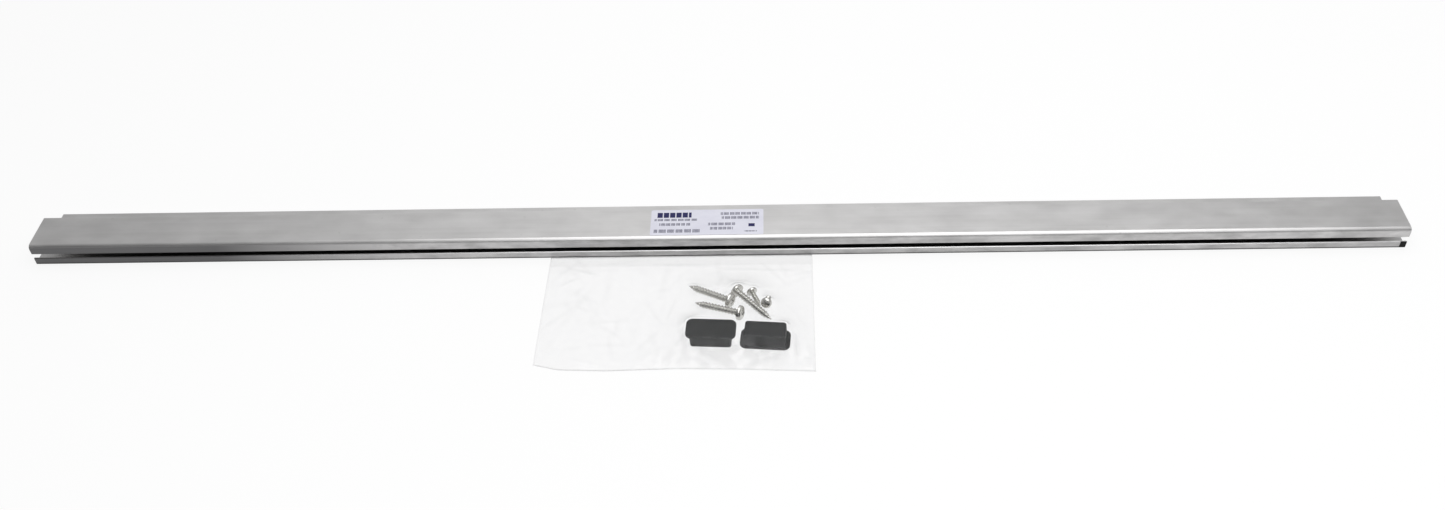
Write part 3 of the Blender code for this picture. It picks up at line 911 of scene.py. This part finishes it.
# %% Sizes of the screws
# The sizes in mm of a long screw and of a short one
SCREW_SIZES = {
    "length": (41.3, 15.9),
    "head_diameter": (12.7, 9.4),
    "head_height": (4.2, 3.2),
    "thread_diameter": (6.3, 4.8),
    "root_diameter": (4.5, 3.5),
    "pitch": (3.0, 1.8),
    "point_length": (8.0, 5.0),
    "recess_span": (6.2, 5.0),
    "recess_width": (1.4, 1.2),
    "recess_depth": (2.2, 1.8),
}
LONG_SCREW = {name: pair[0] * MM for name, pair in SCREW_SIZES.items()}
SHORT_SCREW = {name: pair[1] * MM for name, pair in SCREW_SIZES.items()}

# %% Turned skins
THREAD_SIDES = 36
THREAD_ROWS = 12
HEAD_SIDES = 64
HEAD_ROWS = 30
SHANK_IN_HEAD_SHARE = 0.5
CREST_SHARE = 0.05
FLANK_SHARE = 0.27
# Where the thread starts and where it is full, in pitches below the head
THREAD_RUN_IN_SHARES = (0.15, 0.75)
HEAD_RIM_SHARE = 0.28
DOME_SHARE = 0.7
WALL_SHARE = 0.8
DOME_SQUARENESS = 0.82
POINT_FULLNESS = 0.75
# How wide and how thick a blade of the recess is at its bottom
RECESS_WIDTH_SHARE = 0.42
RECESS_THICKNESS_SHARE = 0.75


def turned_place(radius, turn, height):
    """A point from its distance to the axis, its turn round it and its height."""
    across = radius * calculate("COSINE", turn)
    return combine(radius.tree, X=across, Y=radius * calculate("SINE", turn), Z=height)


def wrapped_grid(tree, columns, rows, make_place):
    """A grid of faces whose points are moved by make_place(u, v) and welded shut."""
    grid = wires(add_node(tree, "GeometryNodeMeshGrid", {"Vertices X": columns, "Vertices Y": rows}))
    share = parts(grid["UV Map"])
    moved = shape(tree, "SetPosition", {
        "Geometry": grid["Mesh"], "Position": make_place(share["X"], share["Y"]),
    })
    return shape(tree, "MergeByDistance", {"Geometry": moved, "Distance": WELD})


# %% Shank and thread
def shank_nodes(tree, given):
    top = given["Head Height"] * SHANK_IN_HEAD_SHARE
    tip = given["Length"] * -1
    turns = calculate("CEIL", (given["Length"] + top) / given["Pitch"]) + 2

    def place(u, v):
        turn = u * turns
        free = top - (turn + v - 1) * given["Pitch"]
        height = free.at_most(top).at_least(tip)
        ridge = spread(v.at_most(1 - v), CREST_SHARE, FLANK_SHARE, 1.0, 0.0)
        started = spread(height * -1 / given["Pitch"], *THREAD_RUN_IN_SHARES)
        rise = (given["Thread Diameter"] - given["Root Diameter"]) * (ridge * started)
        fullness = calculate("DIVIDE", height - tip, given["Point Length"], clamp=True) ** POINT_FULLNESS
        radius = (given["Root Diameter"] + rise) * 0.5 * fullness
        return turned_place(radius * (free < top + WELD), turn * (-2 * math.pi), height)

    return wrapped_grid(tree, turns * THREAD_SIDES + 1, THREAD_ROWS + 1, place)


# %% Head and recess
def head_nodes(tree, given):
    rim = given["Head Height"] * HEAD_RIM_SHARE
    dome = given["Head Height"] - rim

    def place(u, v):
        slope = (v * (math.pi / 2 / DOME_SHARE)).at_most(math.pi / 2)
        outwards = calculate("SINE", slope) ** DOME_SQUARENESS
        upwards = abs(calculate("COSINE", slope)) ** DOME_SQUARENESS
        inwards = spread(v, WALL_SHARE, 1.0, 1.0, 0.0)
        wall = spread(v, DOME_SHARE, WALL_SHARE, 1.0, 0.0)
        reach = given["Head Diameter"] / 2 * outwards.at_most(inwards)
        return turned_place(reach, u * (2 * math.pi), dome * upwards + rim * wall)

    return wrapped_grid(tree, HEAD_SIDES + 1, HEAD_ROWS + 1, place)


def recess_nodes(tree, given):
    """Two crossed blades that narrow towards the bottom of the recess."""
    size = combine(tree, X=given["Recess Span"], Y=given["Recess Width"], Z=given["Recess Depth"] * 2)
    block = shape(tree, "MeshCube", {"Size": size})
    place = parts(shape(tree, "InputPosition"))
    above = place["Z"] > 0.0
    narrow = spread(above, 0.0, 1.0, RECESS_WIDTH_SHARE, 2 - RECESS_WIDTH_SHARE)
    thin = spread(above, 0.0, 1.0, RECESS_THICKNESS_SHARE, 2 - RECESS_THICKNESS_SHARE)
    tapered = combine(tree, X=place["X"] * narrow, Y=place["Y"] * thin, Z=place["Z"])
    blade = shape(tree, "SetPosition", {"Geometry": block, "Position": tapered})
    lift = combine(tree, Z=given["Head Height"])
    return [
        shape(tree, "Transform", {
            "Geometry": blade, "Translation": lift, "Rotation": (0, 0, turn),
        }) for turn in (0, math.pi / 2)
    ]


# %% Rule for a screw
def make_screw_rule():
    inputs = {name.replace("_", " ").title(): "Float" for name in SCREW_SIZES}
    tree, given, result = new_group("screw", "GeometryNodeTree", inputs, ("Geometry", "Geometry"))
    whole = shape(tree, "MeshBoolean", {
        "Mesh 2": [head_nodes(tree, given), shank_nodes(tree, given)],
    }, operation="UNION", solver="EXACT")
    cut = shape(tree, "MeshBoolean", {
        "Mesh 1": whole, "Mesh 2": recess_nodes(tree, given), "Self Intersection": True,
    }, operation="DIFFERENCE", solver="EXACT")
    return end_rule(tree, result, cut, BRIGHT_ZINC)


SCREW_RULE = make_screw_rule()

# %% Screws
# Each screw with its kind and how many degrees it is rolled about its axis
SCREWS = [
    ("long_screw_1", LONG_SCREW, 20.0),
    ("long_screw_2", LONG_SCREW, 65.0),
    ("long_screw_3", LONG_SCREW, 40.0),
    ("short_screw_1", SHORT_SCREW, 10.0),
    ("short_screw_2", SHORT_SCREW, 30.0),
]
# How far out from the axis, in head diameters, a point of a bare head lies at least
HEAD_REACH_SHARE = 0.4
LEAST_FULLNESS = 0.01


def screw_axis(node, sizes):
    """Where a bare screw's head sits and where its point aims."""
    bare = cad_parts[node].data.vertices
    points = np.unique([tuple(round(part, 6) for part in vert.co) for vert in bare], axis=0)
    tip = points[np.argmax(np.linalg.norm(points - points.mean(0), axis=1))]
    rim = math.hypot(sizes["length"], HEAD_REACH_SHARE * sizes["head_diameter"])
    head = points[np.linalg.norm(points - tip, axis=1) > rim].mean(0)
    aim = Vector(tip - head).normalized()
    return Vector(tip) - aim * sizes["length"], aim


def groove_depths(mesh, sizes):
    """0 on the thread's crest and on the head, and 1 between two crests."""
    places = np.array([vert.co for vert in mesh.vertices])
    point_share = (places[:, 2] + sizes["length"]) / sizes["point_length"]
    reach = np.hypot(places[:, 0], places[:, 1]) / np.clip(point_share, LEAST_FULLNESS, 1) ** POINT_FULLNESS
    rise = (sizes["thread_diameter"] - sizes["root_diameter"]) / 2
    depth = np.clip((sizes["thread_diameter"] / 2 - reach) / rise, 0, 1)
    return np.where(places[:, 2] < -WELD, depth, 0)


def make_screw(node, sizes, roll):
    screw = new_object("zinc_" + node, bpy.data.meshes.new(node))
    add_rule(screw, SCREW_RULE, **sizes)
    settle_modifiers(screw)
    store_mark(screw.data, "in_groove", groove_depths(screw.data, sizes))
    head, aim = screw_axis(node, sizes)
    turn = (-aim).to_track_quat("Z", "Y") @ Quaternion((0, 0, 1), math.radians(roll))
    screw.data.transform(Matrix.Translation(head) @ turn.to_matrix().to_4x4())
    shade(screw.data, sharp_angle=42.0)
    place_piece(screw, "fixings_pack", node)
    return screw


screws = [make_screw(*screw) for screw in SCREWS]

# %% [markdown]
# ## Clear film
# The fixings come in a flat bag of clear film, sealed at its sides and along its front
# edge. Light goes straight through it, less of it where the film turns away from the
# eye, and a thin mirror grows at a glance. It is a little milky at the seals, in the
# creases and where the mouth of the bag is folded under, near the rail.

# %% Clear film
SEAL_WIDTH = 2.5 * MM
SEAL_FADE_SHARE = 0.8
FOLDED_MOUTH = 12.5 * MM
FOLD_BLUR = 0.3 * MM
FILM_TINTS = ((1.0, 1.0, 1.0), (0.998, 0.998, 0.999))
BLACK = (0.0, 0.0, 0.0)
MILK_TONE = (0.93, 0.93, 0.96, 1.0)
DIM_AT_A_GLANCE = 0.13
MIRROR_AT_A_GLANCE = 0.4
MIRROR_FACE_ON = 0.012


def make_clear_film():
    finish = Finish("clear_film")
    tree = finish.tree
    tree.nodes.remove(finish.surface)
    output = next(node for node in tree.nodes if node.type == "OUTPUT_MATERIAL")
    seal = spread(finish.mark("from_edge"), SEAL_FADE_SHARE * SEAL_WIDTH, SEAL_WIDTH, 1.0, 0.0)
    milky = finish.mark("milky")
    cloud = finish.grain(8.0 * MM)
    mouth = CHANNEL_FRONT - FOLDED_MOUTH
    fold = spread(parts(finish.place)["Y"], mouth - FOLD_BLUR, mouth + FOLD_BLUR)
    facing = wire(tree, "ShaderNodeLayerWeight", {"Blend": 0.5}, output="Facing")
    haze = cloud * 0.004 + seal * 0.006 + fold * 0.004 + milky * 0.03
    dim = facing ** 3.0 * DIM_AT_A_GLANCE + fold * 0.006 + milky * 0.055
    mirror = facing ** 5.0 * MIRROR_AT_A_GLANCE + MIRROR_FACE_ON
    tint = finish.paint(finish.blend(cloud, *FILM_TINTS), (dim, BLACK))
    crinkle = finish.bump(finish.grain(6.0 * MM), 0.04 * MM)
    clear = wire(tree, "ShaderNodeBsdfTransparent", {"Color": tint})
    milk = wire(tree, "ShaderNodeBsdfDiffuse", {"Color": MILK_TONE})
    gloss = wire(tree, "ShaderNodeBsdfAnisotropic", {"Roughness": 0.09, "Normal": crinkle})
    body = wire(tree, "ShaderNodeMixShader", {0: haze, 1: clear, 2: milk})
    fill_sockets(output, {"Surface": wire(tree, "ShaderNodeMixShader", {0: mirror, 1: body, 2: gloss})})
    return finish.material


CLEAR_FILM = make_clear_film()

# %% [markdown]
# ## The lie of the bag
# The bare lower film gives the bag's four corners. Both films are grids over that
# outline, and their front edge bulges a little, as the photographed one does. The
# distance from the sealed edges is kept on every point, for the film's finish.

# %% Places on the bag
# The front edge: share of the width, and how far it bulges there
FRONT_EDGE_WAVE = [(0.0, -1.6 * MM), (0.09, 3.4 * MM), (0.26, 3.8 * MM), (0.51, 0.2 * MM), (0.72, -0.3 * MM),
                   (1.0, 0.7 * MM)]


def bag_corners():
    """The bare lower film's corners: back left, back right, front left, front right."""
    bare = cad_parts["bag_lower_film"].data.vertices
    corners = {(round(vert.co.x, 6), round(vert.co.y, 6)) for vert in bare}
    from_back = sorted(corners, key=lambda corner: -corner[1])
    return [np.array(corner) for corner in sorted(from_back[:2]) + sorted(from_back[2:])]


BACK_LEFT, BACK_RIGHT, FRONT_LEFT, FRONT_RIGHT = bag_corners()


def bag_point(across, down):
    """The place of a point by its shares of the bag's width and depth."""
    back = BACK_LEFT * (1 - across) + BACK_RIGHT * across
    front = FRONT_LEFT * (1 - across) + FRONT_RIGHT * across
    return back * (1 - down) + front * down


def bag_shares(columns, rows):
    """How far across and how far down the bag each point of a grid lies."""
    return np.meshgrid(np.linspace(0, 1, columns), np.linspace(0, 1, rows))


def bag_grid(columns, rows):
    """Points spread evenly over the bag, as an array of rows, columns and X, Y."""
    across, down = bag_shares(columns, rows)
    places = bag_point(across[..., None], down[..., None])
    places[..., 1] -= np.interp(across, *zip(*FRONT_EDGE_WAVE)) * down ** 3
    return places


def from_sealed_edge(columns, rows):
    """Distance of each point from the nearest of the two sides and the front edge."""
    across, down = bag_shares(columns, rows)
    sides = np.minimum(across, 1 - across) * np.linalg.norm(BACK_RIGHT - BACK_LEFT)
    return np.minimum(sides, (1 - down) * np.linalg.norm(FRONT_RIGHT - BACK_RIGHT))


def flat_area(places):
    """The area of the grid's cells as they lie flat."""
    one = places[1:, 1:] - places[:-1, :-1]
    other = places[1:, :-1] - places[:-1, 1:]
    return np.abs(one[..., 0] * other[..., 1] - one[..., 1] * other[..., 0]).sum() / 2


# %% [markdown]
# ## A tent over the fixings
# The upper film is slack: it hangs over the caps and screws like a tent. The tent is
# found by relaxation: every free point sinks a little and is pulled to the mean of its
# neighbours, again and again, and never below what lies under it.

# %% Tent over the fixings
FILM_COLUMNS = 190
FILM_ROWS = 100
FILM_CLEARANCE = 0.25 * MM
FILM_SINK = 0.005 * MM
FILM_SWEEPS = 2000
DROP_HEIGHT = 60.0 * MM


def widened(heights, steps=1):
    """Each point takes the highest value among its neighbours."""
    for _ in range(steps):
        windows = sliding_window_view(np.pad(heights, 1, mode="edge"), (3, 3))
        heights = windows.max(axis=(2, 3))
    return heights


def tops_under(places, pieces, ground):
    """How high the pieces stand under each point, or the ground where there is none."""
    graph = bpy.context.evaluated_depsgraph_get()
    trees = [BVHTree.FromObject(piece, graph) for piece in pieces]
    tops = np.full(places.shape[:2], ground)
    for row, column in np.ndindex(tops.shape):
        above = Vector((*places[row, column], DROP_HEIGHT))
        hits = [tree.ray_cast(above, Vector((0, 0, -1)))[0] for tree in trees]
        tops[row, column] = max([ground] + [hit.z + FILM_CLEARANCE for hit in hits if hit is not None])
    return widened(tops)


def relax(tops):
    """A slack skin over the tops, held down along its edges."""
    heights = tops.copy()
    for _ in range(FILM_SWEEPS):
        mean = (heights[:-2, 1:-1] + heights[2:, 1:-1] + heights[1:-1, :-2] + heights[1:-1, 2:]) / 4
        heights[1:-1, 1:-1] = np.maximum(tops[1:-1, 1:-1], mean - FILM_SINK)
    return heights


# %% [markdown]
# ## Folds, creases and crumple
# Three things break the film's surface. A few folds lie where the photograph shows
# them. Small creases are scattered by a seeded generator. And in front of the caps the
# film is finely crumpled, in patches, which makes it milky there. Each is a height in
# metres at every point of the grid.

# %% Creases
CREASE_SEED = 11
SMALL_CREASES = 70
# Ranges of a small crease: shares of the bag, half length, width and height in mm
CREASE_ACROSS_SHARES = (0.03, 0.97)
CREASE_DOWN_SHARES = (0.04, 0.96)
CREASE_TURN_SPREAD = 0.9
CREASE_HALF_LENGTHS = (8, 30)
CREASE_WIDTHS = (1.5, 3.2)
CREASE_HEIGHTS = (0.08, 0.34)
RIDGE_END_FADE = 0.7
# The folds that show, in mm: from X, Y to X, Y, then width and height
FOLDS = [
    (-12.0, -148.8, 22.9, -165.1, 2.2, 1.3),
    (37.8, -165.3, 68.8, -157.1, 2.0, 1.2),
    (20.7, -155.8, 33.3, -152.3, 1.7, 1.5),
    (47.6, -156.0, 62.3, -152.7, 1.7, 1.6),
    (-9.3, -160.4, 7.9, -166.3, 1.8, 0.9),
    (74.7, -135.2, 76.4, -160.0, 2.4, 1.2),
    (-19.5, -132.5, -15.1, -152.8, 2.2, 1.0),
    (-50.8, -45.0, 5.1, -47.2, 1.8, 0.5),
    (9.6, -52.3, 89.4, -55.0, 1.8, 0.5),
    (-125.3, -47.5, -94.2, -58.2, 2.0, 0.5),
    (-128.4, -70.8, -112.8, -60.8, 1.7, 0.6),
]


def ridge(places, start, end, width, height):
    """A low straight ridge between two points, which dies out at both ends."""
    run = end - start
    length = np.linalg.norm(run)
    offset = places - start
    along = (offset @ run) / length ** 2
    aside = np.abs(offset[..., 0] * run[1] - offset[..., 1] * run[0]) / length
    ends = np.sin(np.pi * np.clip(along, 0, 1)) ** RIDGE_END_FADE
    return height * ends * np.exp(-(aside / width) ** 2)


def creases(places):
    rng = np.random.default_rng(CREASE_SEED)
    total = np.zeros(places.shape[:2])
    for _ in range(SMALL_CREASES):
        middle = bag_point(rng.uniform(*CREASE_ACROSS_SHARES), rng.uniform(*CREASE_DOWN_SHARES))
        turn = rng.normal(math.pi / 2, CREASE_TURN_SPREAD)
        half = np.array([math.cos(turn), math.sin(turn)]) * rng.uniform(*CREASE_HALF_LENGTHS) * MM
        width, height = rng.uniform(*CREASE_WIDTHS) * MM, rng.uniform(*CREASE_HEIGHTS) * MM
        total += ridge(places, middle - half, middle + half, width, height)
    for *line, width, height in FOLDS:
        start, end = np.array(line[:2]) * MM, np.array(line[2:]) * MM
        total += ridge(places, start, end, width * MM, height * MM)
    return total


# %% Crumple
CRUMPLE_MIDDLE = np.array((28.0 * MM, -157.0 * MM))
CRUMPLE_REACH = np.array((60.0 * MM, 12.0 * MM))
CRUMPLE_SIZE = 7.0 * MM
CRUMPLE_LAYER = 5.7
CRUMPLE_CONTRAST = 1.6


def noise_field(places, size, layer):
    """Smooth noise between -1 and 1 whose features are about as large as size."""
    field = np.empty(places.shape[:2])
    for row, column in np.ndindex(field.shape):
        x, y = places[row, column] / size
        field[row, column] = noise.noise(Vector((x, y, layer)))
    return field


def crumple(places):
    """How finely crumpled the film is in front of the caps, from 0 to 1."""
    offset = (places - CRUMPLE_MIDDLE) / CRUMPLE_REACH
    patches = np.clip(0.5 + CRUMPLE_CONTRAST * noise_field(places, CRUMPLE_SIZE, CRUMPLE_LAYER), 0, 1)
    return np.exp(-(offset ** 2).sum(-1)) * patches


# %% [markdown]
# ## The two films
# A film is a grid of faces given its thickness. The lower one lies on the paper with a
# faint wave. The upper one takes the tent, and the folds, creases and crumple are added
# where it is slack: less over the pieces, where it is taut, and not at the seals or at
# the back edge. Each also works out the flat area of its grid.

# %% Films
FILM_THICKNESS = 0.06 * MM
WAVE_SIZE = 22.0 * MM
LOWER_COLUMNS = 96
LOWER_ROWS = 50
LOWER_REST = 0.05 * MM
LOWER_WAVE = 0.12 * MM
LOWER_LAYER = 3.3
UPPER_REST = 0.35 * MM
UPPER_WAVE = 0.3 * MM
UPPER_LAYER = 7.1
TAUT_SHARE = 0.9
TAUT_STEPS = 2
CALM_EDGE = 4 * SEAL_WIDTH
BACK_EDGE_SHARE = 0.12
CRUMPLE_HEIGHT = 1.1 * MM
MILK_OF_CREASE = 0.7


def make_film(name, node, places, heights, milky):
    rows, columns = heights.shape
    points = np.dstack([places, heights]).reshape(-1, 3)
    corner = (np.arange(rows - 1)[:, None] * columns + np.arange(columns - 1)).reshape(-1)
    faces = np.stack([corner, corner + columns, corner + columns + 1, corner + 1], axis=1)
    mesh = bpy.data.meshes.new(name)
    mesh.from_pydata(points.tolist(), [], faces.tolist())
    store_mark(mesh, "from_edge", from_sealed_edge(columns, rows))
    store_mark(mesh, "milky", milky)
    mesh.materials.append(CLEAR_FILM)
    mesh.shade_smooth()
    film = new_object(name, mesh)
    wall = film.modifiers.new("film", "SOLIDIFY")
    wall.thickness = FILM_THICKNESS
    wall.offset = 1
    settle_modifiers(film)
    place_piece(film, "fixings_pack", node)
    flat_area(places)


def make_lower_film():
    places = bag_grid(LOWER_COLUMNS, LOWER_ROWS)
    heights = LOWER_REST + LOWER_WAVE * (1 + noise_field(places, WAVE_SIZE, LOWER_LAYER))
    make_film("bag_under_film", "bag_lower_film", places, heights, np.zeros(heights.shape))


def make_upper_film():
    places = bag_grid(FILM_COLUMNS, FILM_ROWS)
    tops = tops_under(places, caps + screws, UPPER_REST)
    ridges = creases(places)
    crumpled = crumple(places)
    slack = ridges + UPPER_WAVE * (1 + noise_field(places, WAVE_SIZE, UPPER_LAYER))
    slack += CRUMPLE_HEIGHT * crumpled
    slack *= 1 - TAUT_SHARE * widened((tops > UPPER_REST + FILM_CLEARANCE).astype(float), TAUT_STEPS)
    slack *= np.clip(from_sealed_edge(FILM_COLUMNS, FILM_ROWS) / CALM_EDGE, 0, 1)
    slack *= np.clip(np.linspace(0, 1, FILM_ROWS) / BACK_EDGE_SHARE, 0, 1)[:, None]
    heights = np.maximum(relax(tops) + slack, tops)
    milky = np.clip(MILK_OF_CREASE * ridges / MM + crumpled, 0, 1)
    make_film("bag_over_film", "bag_upper_film", places, heights, milky)


make_lower_film()
make_upper_film()
